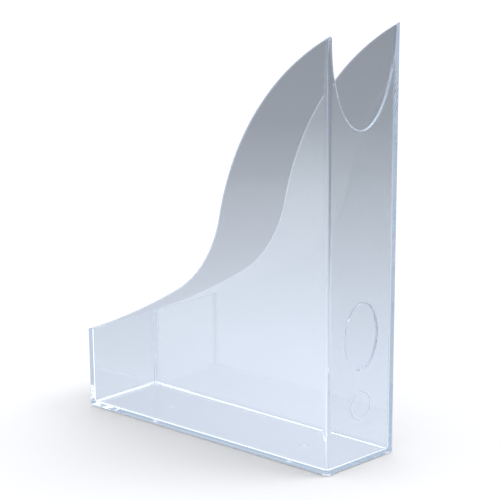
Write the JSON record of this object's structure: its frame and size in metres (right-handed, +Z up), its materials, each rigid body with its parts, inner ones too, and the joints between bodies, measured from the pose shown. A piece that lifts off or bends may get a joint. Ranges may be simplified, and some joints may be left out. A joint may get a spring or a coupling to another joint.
{
  "type": "magazine rack",
  "caption": "Clear plastic open-topped magazine rack with a low front, S-curved side walls and a tall spine that has a finger hole and a grip notch.",
  "frame": {"origin": "middle of the rack's footprint (its bounding box seen from above), in the plane that the four feet stand on", "axes": "+Z up; +X from the low front panel to the tall spine; +Y from the left side wall to the right one, seen from behind the spine with the front facing away"},
  "size_m": [0.238, 0.0726, 0.306],
  "materials": {
    "clear_polystyrene": "clear, faintly blue, polished injection-moulded polystyrene"
  },
  "bodies": {
    "root": {"base_plate": "clear_polystyrene", "front_panel": "clear_polystyrene", "spine_panel": "clear_polystyrene", "side_wall_left": "clear_polystyrene", "side_wall_right": "clear_polystyrene", "foot_front_left": "clear_polystyrene", "foot_front_right": "clear_polystyrene", "foot_rear_left": "clear_polystyrene", "foot_rear_right": "clear_polystyrene"}
  },
  "joints": []
}
